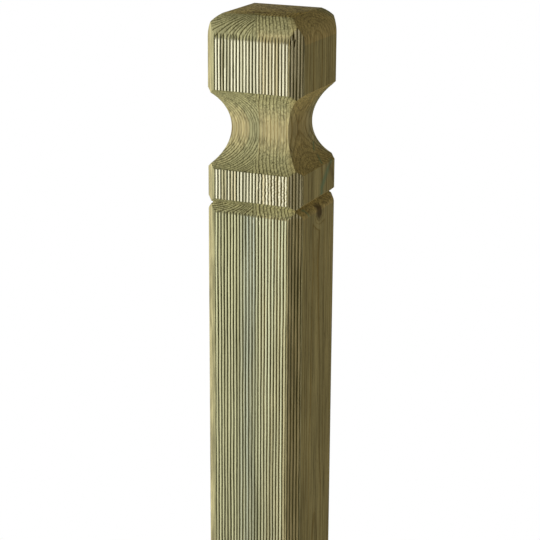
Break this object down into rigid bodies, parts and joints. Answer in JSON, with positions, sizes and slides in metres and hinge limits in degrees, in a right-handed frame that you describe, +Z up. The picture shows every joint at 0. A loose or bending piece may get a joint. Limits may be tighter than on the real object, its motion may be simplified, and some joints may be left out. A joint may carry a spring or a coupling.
{
  "type": "newel post",
  "caption": "Square timber newel post with chamfered corners, reeded front face, rounded moulded cap, coved neck and V-grooved collar, cut flat at the foot.",
  "frame": {"origin": "centre of the flat underside, where the post meets the deck", "axes": "+Z up the post to its cap, -Y out of the reeded front face, +X out of the smooth face beside the reeded corner"},
  "size_m": [0.09, 0.09, 1.1],
  "materials": {
    "treated_pine": "planed, pressure-treated, unpainted"
  },
  "bodies": {
    "root": {"newel_post": "treated_pine"}
  },
  "joints": []
}
